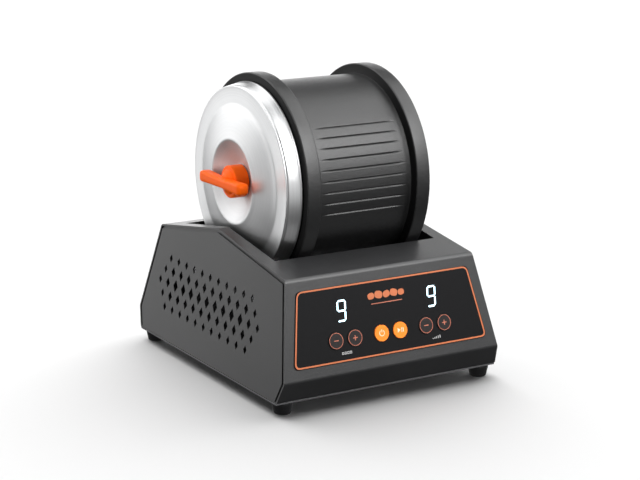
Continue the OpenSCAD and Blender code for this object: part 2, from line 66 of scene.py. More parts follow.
# The panel's own frame: origin on the overlay's front face at its lower edge, X right, Y up the panel, Z out
PANEL_ANGLE = math.atan2(INWARD.y, -INWARD.z)
PANEL = Matrix.Translation(
    (0, OVERLAY[0].y, OVERLAY[0].z + OVERLAY_T * math.cos(PANEL_ANGLE))
) @ Matrix.Rotation(PANEL_ANGLE, 4, "X")
PANEL_H = (OVERLAY[1].z - OVERLAY[0].z) / math.sin(PANEL_ANGLE)


def on_panel(node):
    """The middle of a CAD node in the panel's frame."""
    low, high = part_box(node)
    return PANEL.inverted() @ ((low + high) / 2)


# ---------------------------------------------------------------- node-tree helpers

def new_material(name):
    """A material with a Principled shader; returns (material, nodes, links, shader)."""
    m = bpy.data.materials.new(name + "_finish")
    m.use_nodes = True
    nodes, links = m.node_tree.nodes, m.node_tree.links
    return m, nodes, links, nodes["Principled BSDF"]


def object_coords(nodes, links, scale=(1, 1, 1)):
    coords = nodes.new("ShaderNodeTexCoord")
    mapping = nodes.new("ShaderNodeMapping")
    mapping.inputs["Scale"].default_value = scale
    links.new(coords.outputs["Object"], mapping.inputs["Vector"])
    return mapping.outputs["Vector"]


def noise(nodes, links, vector, scale, detail, roughness=0.5):
    n = nodes.new("ShaderNodeTexNoise")
    n.inputs["Scale"].default_value = scale
    n.inputs["Detail"].default_value = detail
    n.inputs["Roughness"].default_value = roughness
    links.new(vector, n.inputs["Vector"])
    return n.outputs["Fac"]


def ramp(nodes, links, fac, stops):
    """A colour for fac from stops, which are (position, colour) from low to high."""
    r = nodes.new("ShaderNodeValToRGB")
    first, last = r.color_ramp.elements[0], r.color_ramp.elements[1]
    first.position, first.color = stops[0]
    last.position, last.color = stops[-1]
    for position, color in stops[1:-1]:
        r.color_ramp.elements.new(position).color = color
    links.new(fac, r.inputs["Fac"])
    return r.outputs["Color"]


def grey(v):
    return (v, v, v, 1.0)


def remap(nodes, links, fac, low, high):
    """Stretches 0 to 1 so that it runs from low to high. A caller can widen the 0 to 1."""
    m = nodes.new("ShaderNodeMapRange")
    m.inputs["To Min"].default_value = low
    m.inputs["To Max"].default_value = high
    links.new(fac, m.inputs["Value"])
    return m.outputs["Result"]


def bump(nodes, links, shader, height, strength, distance):
    b = nodes.new("ShaderNodeBump")
    b.inputs["Strength"].default_value = strength
    b.inputs["Distance"].default_value = distance
    links.new(height, b.inputs["Height"])
    links.new(b.outputs["Normal"], shader.inputs["Normal"])


def shade(color, factor):
    return (color[0] * factor, color[1] * factor, color[2] * factor, 1.0)


# ---------------------------------------------------------------- materials

DRIFT_SCALE = 14        # slow drift in the colour, to a metre
FINE_GRAIN = 2.7        # the fine grain's scale against the coarse grain's
GRAIN_SHARE = 0.7       # how much of the colour follows the grain, not the drift
ROUGH_SPREAD = 0.12
RING_SCALE = 1500       # turning marks to a metre of radius
SMUDGE_SCALE = 30
SMUDGE_ROUGH = 0.12     # the roughness that a smudge adds
DENT_SCALE = 90
DENT_HEIGHT = 6         # the dents' height against the turning marks'
METAL_LINE_SCALE = 900
METAL_DRIFT_SCALE = 40
GLOW_SCALE = 300
FLOOR_SCALE = 3


def grained(name, color, rough, spread=0.12, grain=1100, bump_mm=0.02, ior=1.5, stretch=(1, 1, 1)):
    """Paint, rubber or moulded plastic: slow colour drift, and a grain in colour, roughness and height.
    grain is how many grains there are to a metre."""
    m, nodes, links, shader = new_material(name)
    vector = object_coords(nodes, links, stretch)
    slow = noise(nodes, links, vector, DRIFT_SCALE, 3)
    coarse = noise(nodes, links, vector, grain, 2, 0.6)
    fine = noise(nodes, links, vector, grain * FINE_GRAIN, 2, 0.6)
    both = nodes.new("ShaderNodeMix")
    both.data_type = "FLOAT"
    links.new(coarse, both.inputs["A"])
    links.new(fine, both.inputs["B"])
    mix = nodes.new("ShaderNodeMix")
    mix.data_type = "FLOAT"
    mix.inputs["Factor"].default_value = GRAIN_SHARE
    links.new(slow, mix.inputs["A"])
    links.new(both.outputs["Result"], mix.inputs["B"])
    tone = ramp(nodes, links, mix.outputs["Result"], [
        (0.32, shade(color, 1 - spread)), (0.5, shade(color, 1.0)), (0.68, shade(color, 1 + spread))])
    links.new(tone, shader.inputs["Base Color"])
    uneven = remap(nodes, links, both.outputs["Result"], rough - ROUGH_SPREAD, rough + ROUGH_SPREAD)
    links.new(uneven, shader.inputs["Roughness"])
    bump(nodes, links, shader, both.outputs["Result"], 1.0, bump_mm * MM)
    shader.inputs["IOR"].default_value = ior
    return m


def turned_steel(name, color, axis_point, dish, dish_r, satin, skirt_r, polished):
    """Steel with fine rings about the barrel's axis and slow smudges. Its roughness is dish inside dish_r,
    polished outside skirt_r and satin between."""
    m, nodes, links, shader = new_material(name)
    coords = nodes.new("ShaderNodeTexCoord")
    shift = nodes.new("ShaderNodeVectorMath")
    shift.operation = "SUBTRACT"
    shift.inputs[1].default_value = axis_point
    links.new(coords.outputs["Object"], shift.inputs[0])
    flat = nodes.new("ShaderNodeVectorMath")
    flat.operation = "MULTIPLY"
    flat.inputs[1].default_value = (0, 1, 1)
    links.new(shift.outputs[0], flat.inputs[0])
    length = nodes.new("ShaderNodeVectorMath")
    length.operation = "LENGTH"
    links.new(flat.outputs[0], length.inputs[0])
    split = nodes.new("ShaderNodeSeparateXYZ")
    links.new(shift.outputs[0], split.inputs[0])
    rings = nodes.new("ShaderNodeCombineXYZ")
    links.new(length.outputs["Value"], rings.inputs["X"])
    links.new(split.outputs["X"], rings.inputs["Y"])
    line = noise(nodes, links, rings.outputs[0], RING_SCALE, 3, 0.7)
    smudge = noise(nodes, links, coords.outputs["Object"], SMUDGE_SCALE, 3)
    tone = ramp(nodes, links, line, [(0.3, shade(color, 0.94)), (0.7, shade(color, 1.04))])
    links.new(tone, shader.inputs["Base Color"])
    reach = skirt_r + 2 * MM
    zone = remap(nodes, links, length.outputs["Value"], 0, 1)
    zone.node.inputs["From Max"].default_value = reach
    dish_at, skirt_at = dish_r / reach, skirt_r / reach
    base = ramp(nodes, links, zone, [
        (0.0, grey(dish)), (dish_at - 0.01, grey(dish)), (dish_at + 0.01, grey(satin)),
        (skirt_at - 0.003, grey(satin)), (skirt_at + 0.003, grey(polished)), (1.0, grey(polished))])
    uneven = nodes.new("ShaderNodeMath")
    uneven.operation = "MULTIPLY_ADD"
    uneven.inputs[1].default_value = SMUDGE_ROUGH
    links.new(smudge, uneven.inputs[0])
    links.new(base, uneven.inputs[2])
    links.new(uneven.outputs[0], shader.inputs["Roughness"])
    dents = noise(nodes, links, object_coords(nodes, links, (0.4, 1, 1)), DENT_SCALE, 2)
    height = nodes.new("ShaderNodeMath")
    height.operation = "MULTIPLY_ADD"
    height.inputs[1].default_value = DENT_HEIGHT
    links.new(dents, height.inputs[0])
    links.new(line, height.inputs[2])
    bump(nodes, links, shader, height.outputs[0], 0.12, 0.01 * MM)
    shader.inputs["Metallic"].default_value = 1.0
    return m


def metal(name, color, rough, stretch=(1, 1, 1)):
    """Bare or plated metal with fine lines along its stretched direction."""
    m, nodes, links, shader = new_material(name)
    vector = object_coords(nodes, links, stretch)
    line = noise(nodes, links, vector, METAL_LINE_SCALE, 3, 0.6)
    slow = noise(nodes, links, object_coords(nodes, links), METAL_DRIFT_SCALE, 2)
    tone = ramp(nodes, links, slow, [(0.3, shade(color, 0.9)), (0.7, shade(color, 1.05))])
    links.new(tone, shader.inputs["Base Color"])
    links.new(remap(nodes, links, line, rough - 0.08, rough + 0.1), shader.inputs["Roughness"])
    bump(nodes, links, shader, line, 0.2, 0.01 * MM)
    shader.inputs["Metallic"].default_value = 1.0
    return m


def glow(name, color, strength):
    """Lit display segments, a little uneven from end to end."""
    m, nodes, links, shader = new_material(name)
    vector = object_coords(nodes, links)
    uneven = noise(nodes, links, vector, GLOW_SCALE, 1)
    tone = ramp(nodes, links, uneven, [(0.3, shade(color, 0.9)), (0.7, shade(color, 1.0))])
    links.new(tone, shader.inputs["Base Color"])
    links.new(tone, shader.inputs["Emission Color"])
    shader.inputs["Emission Strength"].default_value = strength
    shader.inputs["Roughness"].default_value = 0.3
    return m


def floor_material():
    """The pale, dull floor under the object."""
    m, nodes, links, shader = new_material("floor_pale")
    vector = object_coords(nodes, links)
    slow = noise(nodes, links, vector, FLOOR_SCALE, 2)
    tone = ramp(nodes, links, slow, [(0.2, grey(0.86)), (0.8, grey(0.88))])
    links.new(tone, shader.inputs["Base Color"])
    shader.inputs["Roughness"].default_value = 0.9
    shader.inputs["Specular IOR Level"].default_value = 0.1
    return m


# Name, colour, roughness, spread of the colour, grains to a metre, their height in mm, and IOR
CHARCOAL = grained("charcoal_paint", (0.015, 0.0152, 0.016), 0.42, 0.5, 900, 0.10, 1.53)
FLOOR_PAINT = grained("floor_paint", (0.09, 0.09, 0.094), 0.4, 0.2)
FOOT_RUBBER = grained("foot_rubber", (0.008, 0.008, 0.0085), 0.2, 0.2, 900, 0.01)
DRUM_RUBBER = grained("drum_rubber", (0.0045, 0.0046, 0.0049), 0.44, 0.6, 1000, 0.14, 1.57,
                      stretch=(0.35, 1, 1))
# A darker, duller copy of the drum's rubber for its flat end faces: painted shade for the shadow on the
# flanges' faces
SHADED_FACE_RUBBER = grained("drum_face_painted_shade", (0.004, 0.004, 0.0043), 0.6, 0.3, 1000, 0.04, 1.25)
ROLLER_RUBBER = grained("roller_rubber", (0.02, 0.02, 0.0205), 0.55, 0.3)
SEAL_RUBBER = grained("seal_rubber", (0.015, 0.015, 0.0155), 0.6, 0.3)
OVERLAY_PLASTIC = grained("overlay_plastic", (0.006, 0.006, 0.0066), 0.5, 0.15, 2000, 0.004, 1.19)
DISPLAY_GLASS = grained("display_glass", (0.009, 0.0095, 0.011), 0.3, 0.1, 900, 0.002, 1.3)
BLACK_PLASTIC = grained("black_plastic", (0.015, 0.015, 0.015), 0.45, 0.2)
BOARD_GREEN = grained("board_green", (0.02, 0.13, 0.05), 0.4, 0.2)
GEAR_NYLON = grained("gear_nylon", (0.72, 0.70, 0.62), 0.45, 0.05)
MOTOR_PAINT = grained("motor_paint", (0.05, 0.05, 0.056), 0.35, 0.2)
RED_LEAD = grained("red_lead_sleeve", (0.45, 0.02, 0.02), 0.45)
BLACK_LEAD = grained("black_lead_sleeve", (0.02, 0.02, 0.02), 0.45)
KNOB_ORANGE = grained("knob_orange", (1.0, 0.13, 0.004), 0.40, 0.06, 700, 0.01, 1.18)
BUTTON_ORANGE = grained("button_orange", (1.0, 0.24, 0.02), 0.34, 0.05, 900, 0.004, 1.4)
BUTTON_DARK = grained("button_dark", (0.020, 0.017, 0.017), 0.30, 0.15, 1500, 0.003, 1.35)
TRIM_ORANGE = grained("trim_orange", (0.50, 0.14, 0.052), 0.45, 0.06, 900, 0.003, 1.4)
RING_COPPER = grained("ring_copper", (0.50, 0.16, 0.10), 0.4, 0.15, 900, 0.003, 1.4)
PRINT_WHITE = grained("print_white", (0.55, 0.55, 0.55), 0.5, 0.05, 900, 0.003, 1.4)
PRINT_PALE = grained("print_pale", (0.95, 0.66, 0.45), 0.5, 0.05, 900, 0.003, 1.4)
DIGIT_GLOW = glow("digit_glow", (0.62, 0.88, 1.0), 2.2)
LID_STEEL = turned_steel("lid_steel", (0.655, 0.66, 0.665), AXIS, dish=0.52, dish_r=29 * MM, satin=0.32,
                         skirt_r=64.7 * MM, polished=0.27)
ZINC = metal("zinc_steel", (0.55, 0.55, 0.56), 0.35)
SHAFT_STEEL = metal("shaft_steel", (0.5, 0.5, 0.52), 0.25, (0.05, 1, 1))
# The brackets are near black as painted shade, for the dark inside of the base that shows through the vents
SHADE_DARK_BRACKET = grained("bracket_painted_shade", (0.012, 0.012, 0.0125), 0.5, 0.2, 900, 0.02, 1.4)
GEARBOX_METAL = metal("gearbox_metal", (0.45, 0.45, 0.47), 0.5)
BRONZE = metal("bush_bronze", (0.45, 0.30, 0.15), 0.45)
BRASS = metal("pinion_brass", (0.70, 0.48, 0.18), 0.32)


# ---------------------------------------------------------------- mesh helpers

MERGE = 1e-7            # vertices closer than this many metres become one
CURVE_MERGE = 2e-6      # the same in a plate, which is made from a curve
WELD = 1e-6             # the same in a CAD node's modifier
SHARP_DEG = 30


def add_mesh(name, bm, material, body, sharp_deg, matrix=None):
    """Turns bm into a piece that rides on body. Edges sharper than sharp_deg stay sharp."""
    if matrix is not None:
        bm.transform(matrix)
    bmesh.ops.remove_doubles(bm, verts=bm.verts, dist=MERGE)
    bmesh.ops.recalc_face_normals(bm, faces=bm.faces)
    mesh = bpy.data.meshes.new(name)
    bm.to_mesh(mesh)
    bm.free()
    mesh.polygons.foreach_set("use_smooth", [True] * len(mesh.polygons))
    mesh.set_sharp_from_angle(angle=math.radians(sharp_deg))
    obj = bpy.data.objects.new(name, mesh)
    bpy.context.scene.collection.objects.link(obj)
    obj.data.materials.append(material)
    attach(obj, body)
    return obj


def arc(cx, cy, r, start_deg, end_deg, steps):
    """Points along a circular arc, both ends included."""
    return [(cx + r * math.cos(math.radians(start_deg + (end_deg - start_deg) * i / steps)),
             cy + r * math.sin(math.radians(start_deg + (end_deg - start_deg) * i / steps)))
            for i in range(steps + 1)]


def corner_arc(x, r, radius, side, degrees):
    """Points (x, r) round an edge of a profile, about a centre. At 0 degrees a point is outermost, and at 90
    it is at the side: -1 towards the lid, 1 away from it."""
    return [(x + side * radius * math.sin(math.radians(d)), r + radius * math.cos(math.radians(d)))
            for d in degrees]


def round_corners(points, radius, steps):
    """A closed outline with each corner replaced by a quadratic blend that starts radius from it."""
    out = []
    for i, point in enumerate(points):
        p, a, b = Vector(point), Vector(points[i - 1]), Vector(points[(i + 1) % len(points)])
        start = p + (a - p).normalized() * radius
        end = p + (b - p).normalized() * radius
        for s in range(steps + 1):
            t = s / steps
            q = start * (1 - t) ** 2 + p * (2 * t * (1 - t)) + end * t ** 2
            out.append((q.x, q.y))
    return out


def revolve(profile, angles, lift=None):
    """A solid of revolution about the barrel's axis. profile is a closed loop of (x, r) in metres; a point
    with r = 0 becomes one vertex. lift(x, r, angle) gives the radius there, if it varies."""
    bm = bmesh.new()
    rings = []
    for x, r in profile:
        if r < 1e-6:
            rings.append([bm.verts.new(Vector((x, AXIS.y, AXIS.z)))] * len(angles))
            continue
        ring = []
        for a in angles:
            radius = lift(x, r, a) if lift else r
            ring.append(bm.verts.new((x, AXIS.y - radius * math.cos(a), AXIS.z + radius * math.sin(a))))
        rings.append(ring)
    for first, second in zip(rings, rings[1:] + rings[:1]):
        if first[0] is first[1] and second[0] is second[1]:
            continue
        for i in range(len(angles)):
            j = (i + 1) % len(angles)
            face = [first[i], first[j], second[j], second[i]]
            unique = [v for m, v in enumerate(face) if v not in face[:m]]
            if len(unique) > 2:
                bm.faces.new(unique)
    return bm


def even_angles(count):
    """Angles in radians, evenly spaced round a turn."""
    return [2 * math.pi * i / count for i in range(count)]


def plate(name, loops, thickness):
    """A flat plate from closed outlines; the first is its rim and the rest are holes. It stands on z = 0."""
    curve = bpy.data.curves.new(name, "CURVE")
    curve.dimensions = "2D"
    curve.fill_mode = "BOTH"
    curve.extrude = thickness / 2
    for loop in loops:
        spline = curve.splines.new("POLY")
        spline.points.add(len(loop) - 1)
        for point, (x, y) in zip(spline.points, loop):
            point.co = (x, y, 0, 1)
        spline.use_cyclic_u = True
    holder = bpy.data.objects.new(name, curve)
    bpy.context.scene.collection.objects.link(holder)
    bpy.context.view_layer.update()
    mesh = bpy.data.meshes.new_from_object(holder)
    bm = bmesh.new()
    bm.from_mesh(mesh)
    bmesh.ops.remove_doubles(bm, verts=bm.verts, dist=CURVE_MERGE)
    bm.transform(Matrix.Translation((0, 0, thickness / 2)))
    bpy.data.objects.remove(holder)
    bpy.data.curves.remove(curve)
    bpy.data.meshes.remove(mesh)
    return bm


def soften(node, material, width_mm=0.0):
    """Gives a CAD node its material, and rounds its sharp edges by width_mm with modifiers."""
    obj = NODES[node]
    obj.data.materials.clear()
    obj.data.materials.append(material)
    if width_mm:
        weld = obj.modifiers.new("weld", "WELD")
        weld.merge_threshold = WELD
        bevel = obj.modifiers.new("bevel", "BEVEL")
        bevel.width = width_mm * MM
        bevel.segments = 2
        bevel.limit_method = "ANGLE"
        bevel.angle_limit = math.radians(SHARP_DEG)
        bevel.use_clamp_overlap = True
        flat = obj.modifiers.new("flat_faces", "WEIGHTED_NORMAL")
        flat.weight = 100
        flat.keep_sharp = True


# ---------------------------------------------------------------- the barrel

BODY_R = 65.8 * MM      # the drum's skin between its flanges
FLANGE_W = 10.8 * MM
BORE_R = 56 * MM
FLANGE_EDGE = 1.1 * MM  # the radius of a flange's rounded edges
GROOVE_FIRST = -12.6    # degrees
GROOVE_PITCH = 6.45     # degrees
GROOVE_COUNT = 9
GRIP_COUNT = 3
GROOVE_HALF_DEG = 0.62
GROOVE_DEPTH = 0.6 * MM
GROOVE_GAP = 4 * MM     # from a flange to the end of the grooves
GROOVE_FADE = 9 * MM    # the length over which a groove gets to its full depth
# Places along the skin in mm from its first end, close together where the grooves fade
SKIN_ROWS = [0, 2, 4, 5, 6, 7, 8, 9, 10, 14, 20, 30, 44.6, 54.6, 60.6, 64.6, 65.6, 66.6, 67.6, 68.6, 69.6,
             70.6, 72.4]
SKIN_END = 1.3          # mm from a flange to the skin's first and last row


def groove_centres():
    """The middle of each groove in degrees."""
    return [GROOVE_FIRST + i * GROOVE_PITCH + g * 360 / GRIP_COUNT
            for g in range(GRIP_COUNT) for i in range(GROOVE_COUNT)]


def drum_angles():
    """Angles round the drum in radians: close together across each groove, and wide apart elsewhere."""
    halves = [-1.5, -1.0, -0.75, -0.5, -0.25, 0, 0.25, 0.5, 0.75, 1.0, 1.5]
    fine = [c + k * GROOVE_HALF_DEG for c in groove_centres() for k in halves]
    coarse = [a for a in range(-180, 180, 2)
              if all(abs((a - c + 180) % 360 - 180) > 2 * GROOVE_HALF_DEG for c in groove_centres())]
    return [math.radians(a) for a in sorted((x + 180) % 360 - 180 for x in fine + coarse)]


def groove_lift(x, r, angle):
    """The radius of the drum's skin, lowered in the grooves, whose ends fade out."""
    if abs(r - BODY_R) > 1e-6:
        return r
    start = DRUM[0].x + FLANGE_W + GROOVE_GAP
    end = DRUM[1].x - FLANGE_W - GROOVE_GAP
    along = min(1.0, max(0.0, (x - start) / GROOVE_FADE), max(0.0, (end - x) / GROOVE_FADE))
    along = along * along * (3 - 2 * along)
    deg = math.degrees(angle)
    nearest = min(abs((deg - c + 180) % 360 - 180) for c in groove_centres())
    if nearest >= GROOVE_HALF_DEG:
        return r
    return r - GROOVE_DEPTH * along * (0.5 + 0.5 * math.cos(math.pi * nearest / GROOVE_HALF_DEG))


def flange_edges(x0, x1):
    """The two rounded edges of a flange that runs from x0 to x1."""
    centre_r = FLANGE_R - FLANGE_EDGE
    return (corner_arc(x0 + FLANGE_EDGE, centre_r, FLANGE_EDGE, -1, range(90, -1, -15))
            + corner_arc(x1 - FLANGE_EDGE, centre_r, FLANGE_EDGE, 1, range(0, 91, 15)))


def barrel_drum():
    """Moulded drum with a flange at each end, grooved grips, an open bore and a closed far end."""
    x0, x1 = DRUM[0].x, DRUM[1].x
    step0, step1 = x0 + FLANGE_W, x1 - FLANGE_W
    fillet, middle = 1.2 * MM, 0.35 * MM
    profile = [(x0 + 0.8 * MM, BORE_R), (x0, BORE_R + 0.8 * MM)]
    profile += flange_edges(x0, step0)
    profile += [(step0, BODY_R + fillet), (step0 + middle, BODY_R + middle), (step0 + fillet, BODY_R)]
    rows = [step0 + (SKIN_END + v) * MM for v in SKIN_ROWS]
    profile += [(x, BODY_R) for x in rows if x < step1 - SKIN_END * MM]
    profile += [(step1 - fillet, BODY_R), (step1 - middle, BODY_R + middle), (step1, BODY_R + fillet)]
    profile += flange_edges(step1, x1)
    far_end = [(0, 61), (-0.8, 59.6), (-3, 58), (-3, 57), (-3, 24), (-2.4, 23), (-2.4, 0)]
    profile += [(x1 + dx * MM, r * MM) for dx, r in far_end]
    profile += [(x1 - 10 * MM, 0), (x1 - 10 * MM, BORE_R - 4 * MM), (x1 - 11.2 * MM, BORE_R - 1.2 * MM),
                (x1 - 14 * MM, BORE_R)]
    obj = add_mesh("barrel_drum_skin", revolve(profile, drum_angles(), groove_lift), DRUM_RUBBER,
                   "barrel", 40)
    # The flat end faces take the darker, duller copy of the rubber: painted shade on the flanges' faces
    obj.data.materials.append(SHADED_FACE_RUBBER)
    for face in obj.data.polygons:
        face.material_index = int(abs(face.normal.x) > 0.9)
    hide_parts("barrel_drum")


# ---------------------------------------------------------------- the lid

LID_SHEET = 0.9 * MM
LID_DEPTH = 11.0 * MM   # from the lip to the flat ring
LID_LIP = 1.1 * MM      # how far the lip stands out beyond the CAD lid's radius
RING_EDGE = 0.75 * MM   # the radius of the flat ring's outer edge
DISH_RIM_R = 28.4       # mm
DISH_FOOT_R = 12.0      # mm
DISH_BULGE = 0.25
STUD_HOLE_R = 4.15 * MM
# Parts of the lid's outer profile in mm. Each point is an offset along X and a radius. In the first two parts
# the radius is an offset too, from the lip's.
SKIRT = [(0, 0), (-0.7, 0), (-1.0, -0.05), (-1.3, -0.25), (-1.7, -0.4), (-5, -1.1), (-8.6, -1.8)]
NECK = [(1.5, -2.05), (1.3, -2.3), (1.05, -2.35), (0.85, -2.25)]
RING_AND_CONE = [
    (0.1, 63.6), (0.2, 62.8), (0.1, 59), (0, 53.8), (-0.1, 52.8), (-0.35, 51.8), (-0.8, 50.5), (-1.25, 49),
    (-1.75, 47.1), (-2.7, 43), (-3.65, 38.5), (-4.45, 34.2)]
CROWN_TOP = [(0.42, 31.2), (0.12, 29.9), (0, 29.1), (0.12, 28.4)]


def outer_lid():
    """Pressed steel cover. From back to front: a skirt, a flat ring, a coned crown and a dish."""
    back, r = LID[1].x - 0.5 * MM, LID_R + LID_LIP
    front, crown = back - LID_DEPTH, LID[0].x
    outer = [(back + dx * MM, r + dr * MM) for dx, dr in SKIRT]
    outer += [(front + dx * MM, r + dr * MM) for dx, dr in NECK]
    outer += corner_arc(front + RING_EDGE, r - 2.85 * MM, RING_EDGE, -1, range(0, 91, 18))
    outer += [(front + dx * MM, radius * MM) for dx, radius in RING_AND_CONE]
    outer += [(crown + dx * MM, radius * MM) for dx, radius in CROWN_TOP]
    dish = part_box("knob_washer")[1].x + 0.3 * MM
    rim = crown + 0.12 * MM
    for t in (0.05, 0.15, 0.3, 0.45, 0.6, 0.75, 0.88):
        x = rim + (dish - rim) * ((1 + DISH_BULGE) * t - DISH_BULGE * t * t)
        outer.append((x, (DISH_RIM_R + (DISH_FOOT_R - DISH_RIM_R) * t) * MM))
    outer += [(dish - 0.15 * MM, 12.6 * MM), (dish, 11.6 * MM), (dish, 8 * MM), (dish, STUD_HOLE_R)]
    # The inner skin, one sheet behind the outer one
    inner = []
    for i in range(len(outer) - 1, -1, -1):
        a = Vector(outer[max(i - 1, 0)])
        b = Vector(outer[min(i + 1, len(outer) - 1)])
        along = (b - a).normalized()
        inner.append((outer[i][0] + LID_SHEET * -along.y, outer[i][1] + LID_SHEET * along.x))
    inner[0] = (dish + LID_SHEET, STUD_HOLE_R)
    inner[-1] = (back, r - LID_SHEET)
    skin = revolve(outer + inner, even_angles(180))
    obj = add_mesh("outer_lid_skin", skin, LID_STEEL, "lid", 60)
    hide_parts("outer_lid")


# ---------------------------------------------------------------- the knob

BAR_DEPTH = 8.6 * MM
BAR_STATIONS = 28
BAR_CROWD = 0.7         # below 1, the sections stand closer together near the bar's ends
BAR_CAP = 0.10          # the share of each half of the bar that rounds off
BAR_CAP_END = 0.45      # what is left of the section at the very end
BAR_WAIST = 3.3         # half the bar's width at the hub, in mm
BAR_FLARE = 0.75        # what that grows by towards the ends, in mm
BAR_SQUARE = 4.0        # the power of the section's rounded rectangle
SECTION_POINTS = 32
HUB_R = 11.2 * MM


def superellipse(half_w, half_h, power, count):
    """Points round a rounded rectangle. A higher power makes squarer corners."""
    out = []
    for i in range(count):
        a = 2 * math.pi * i / count
        c, s = math.cos(a), math.sin(a)
        out.append((half_w * math.copysign(abs(c) ** (2 / power), c),
                    half_h * math.copysign(abs(s) ** (2 / power), s)))
    return out


def loft_y(stations):
    """A closed solid along Y through sections; each is (y, x middle, z middle, half x, half z, power)."""
    bm = bmesh.new()
    rings = []
    for y, cx, cz, hx, hz, power in stations:
        section = superellipse(hx, hz, power, SECTION_POINTS)
        rings.append([bm.verts.new((cx + px, y, cz + pz)) for px, pz in section])
    for a, b in zip(rings, rings[1:]):
        for i in range(SECTION_POINTS):
            j = (i + 1) % SECTION_POINTS
            bm.faces.new((a[i], a[j], b[j], b[i]))
    bm.faces.new(rings[0])
    bm.faces.new(rings[-1])
    return bm


def wing_knob():
    """A hub with a boss, and a bar across it whose ends are a little fuller than its waist."""
    bar_back = KNOB[0].x + BAR_DEPTH
    mid_x = (KNOB[0].x + bar_back) / 2
    half_t = (bar_back - KNOB[0].x) / 2
    half_l = (KNOB[1].y - KNOB[0].y) / 2
    stations = []
    for i in range(BAR_STATIONS + 1):
        t = -1 + 2 * i / BAR_STATIONS
        t = math.copysign(abs(t) ** BAR_CROWD, t)
        near_end = max(0.0, (abs(t) - (1 - BAR_CAP)) / BAR_CAP)
        cap = math.sqrt(max(0.0, 1 - near_end ** 2)) * (1 - BAR_CAP_END) + BAR_CAP_END
        half_w = (BAR_WAIST + BAR_FLARE * min(1.0, abs(t) * 1.15) ** 2) * MM * cap
        stations.append((AXIS.y + t * half_l, mid_x, AXIS.z, half_t * (0.4 + 0.6 * cap), half_w, BAR_SQUARE))
    obj = add_mesh("wing_knob_bar", loft_y(stations), KNOB_ORANGE, "knob", 50)
    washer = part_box("knob_washer")
    back, skirt = washer[0].x - 0.3 * MM, washer[1].x - 0.3 * MM
    hub = [(back, 6.2 * MM), (back, HUB_R - 1.4 * MM), (skirt, HUB_R - 1.4 * MM), (skirt, HUB_R - 0.3 * MM),
           (skirt - 0.3 * MM, HUB_R)]
    hub += corner_arc(bar_back + 0.6 * MM, HUB_R - 1.2 * MM, 1.2 * MM, -1, range(0, 91, 18))
    stud_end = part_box("lid_stud")[0].x
    hub += [(bar_back - 0.6 * MM, 8.8 * MM), (bar_back - 1.0 * MM, 8.4 * MM), (bar_back - 1.8 * MM, 8.0 * MM),
            (bar_back - 2.2 * MM, 7.2 * MM), (stud_end + 0.6 * MM, 5.4 * MM), (stud_end - 0.2 * MM, 5.0 * MM),
            (stud_end - 0.6 * MM, 4.2 * MM), (stud_end - 0.6 * MM, 0), (stud_end - 0.1 * MM, 0),
            (stud_end - 0.1 * MM, 4.4 * MM), (bar_back - 1.0 * MM, 6.2 * MM)]
    add_mesh("wing_knob_hub", revolve(hub, even_angles(72)), KNOB_ORANGE, "knob", 40)
    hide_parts("wing_knob")


# ---------------------------------------------------------------- prints on the panel

PRINT_T = 0.08 * MM
CAP_OUT = 0.7 * MM      # from the overlay's face to the buttons' faces
# Heights of the button row, the pictograms and the pebble mark above the overlay's lower edge
BUTTON_UP = 14.6 * MM
PICTO_UP = 5.8 * MM
MARK_UP = 38.6 * MM


def panel_print(name, loops, material, x, up, body="base", out=0.0):
    """A thin printed mark in the panel's frame, loops in millimetres about (x, up) in metres."""
    bm = plate(name, [[(px * MM, py * MM) for px, py in loop] for loop in loops], PRINT_T)
    add_mesh(name, bm, material, body, SHARP_DEG, PANEL @ Matrix.Translation((x, up, out)))


def box_loop(cx, cy, w, h):
    """A rectangle about its middle."""
    left, right, low, high = cx - w / 2, cx + w / 2, cy - h / 2, cy + h / 2
    return [(left, low), (right, low), (right, high), (left, high)]


def circle_loop(radius):
    """A circle about the origin in 48 steps, without its first point again at the end."""
    return arc(0, 0, radius, 0, 360, 48)[:-1]


def border():
    """The printed border round the overlay, as a band that follows its outline. Sizes are in mm."""
    # Half the overlay's width at its lower and its upper edge
    low_half, high_half = 75.7, 66.9
    high = PANEL_H / MM
    gap, width, corner = 0.4, 1.0, 4.3
    taper = (low_half - high_half) / high

    def outline(margin, radius):
        side = margin * math.sqrt(1 + taper ** 2)
        low_x = low_half - side - taper * margin
        high_x = high_half - side + taper * margin
        corners = [(-low_x, margin), (low_x, margin), (high_x, high - margin), (-high_x, high - margin)]
        return round_corners(corners, radius, 6)

    band = [outline(gap, corner), outline(gap + width, corner - width)]
    panel_print("panel_border", band, TRIM_ORANGE, 0, 0)


# Sizes of a digit in mm, and its lean for each mm of height
SEGMENT_W = 1.15
SEGMENT_GAP = 0.5
DIGIT_W = 7.0
DIGIT_H = 14.2
DIGIT_SLANT = 0.10


def segment(cx, cy, length, upright):
    """One bar of a digit with pointed ends, leaning with the digit."""
    half, t = length / 2, SEGMENT_W / 2
    points = [(-half, 0), (-half + t, -t), (half - t, -t), (half, 0), (half - t, t), (-half + t, t)]
    if upright:
        points = [(y, x) for x, y in reversed(points)]
    return [(cx + x + DIGIT_SLANT * (cy + y), cy + y) for x, y in points]


def digit_nine(name, node):
    """The lit segments of a nine: all but the lower left one."""
    centre = on_panel(node)
    side, row = DIGIT_W / 2 - SEGMENT_W / 2, DIGIT_H / 2 - SEGMENT_W / 2
    across, up = DIGIT_W - SEGMENT_W - SEGMENT_GAP, row - SEGMENT_GAP
    bars = {
        "top": (0, row, across, False), "middle": (0, 0, across, False), "bottom": (0, -row, across, False),
        "upper_left": (-side, row / 2, up, True), "upper_right": (side, row / 2, up, True),
        "lower_right": (side, -row / 2, up, True)}
    for bar, (cx, cy, length, upright) in bars.items():
        panel_print(f"{name}_{bar}", [segment(cx, cy, length, upright)], DIGIT_GLOW,
                    centre.x, centre.y)


def ring(outer, width):
    """A ring about the origin, as a rim and a hole."""
    return [circle_loop(outer), circle_loop(outer - width)]


